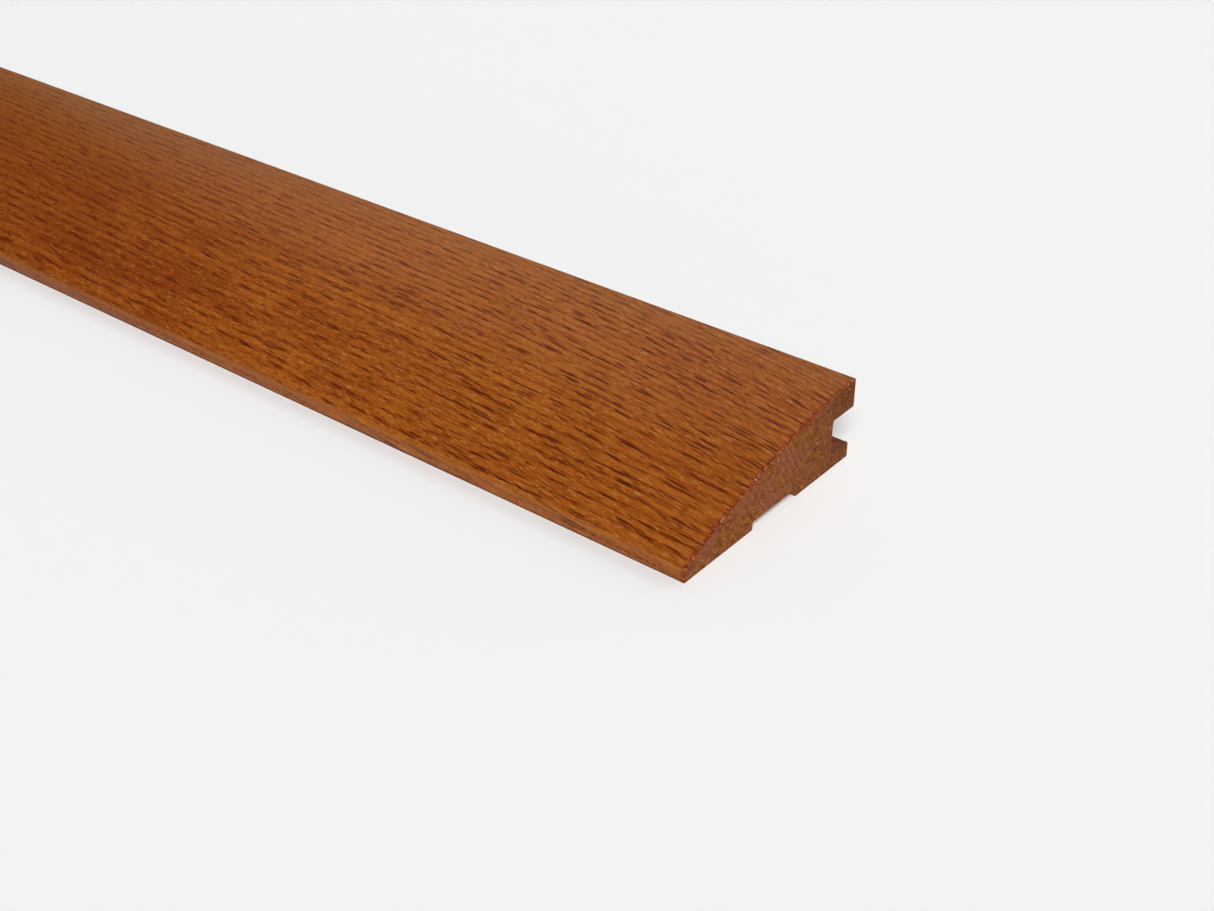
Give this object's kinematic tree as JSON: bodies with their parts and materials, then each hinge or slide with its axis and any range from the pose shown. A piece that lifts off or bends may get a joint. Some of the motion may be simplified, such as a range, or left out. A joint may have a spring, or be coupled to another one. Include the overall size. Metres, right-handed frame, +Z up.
{
  "type": "threshold strip",
  "caption": "Solid oak flush reducer threshold strip: domed ramp from a thin upright nose to a grooved back edge, relief channel underneath, lacquered top.",
  "frame": {"origin": "middle of the underside, halfway along the strip and halfway from nose to back", "axes": "+X along the strip towards its right-hand end, +Y from the thin nose to the grooved back, +Z up"},
  "size_m": [0.762, 0.0572, 0.018],
  "materials": {
    "oak": "machined red oak, unfinished",
    "finish": "orange-brown stained open-grain oak under satin-gloss lacquer"
  },
  "bodies": {
    "root": {"oak_strip": "oak", "finish_skin": "finish"}
  },
  "joints": []
}
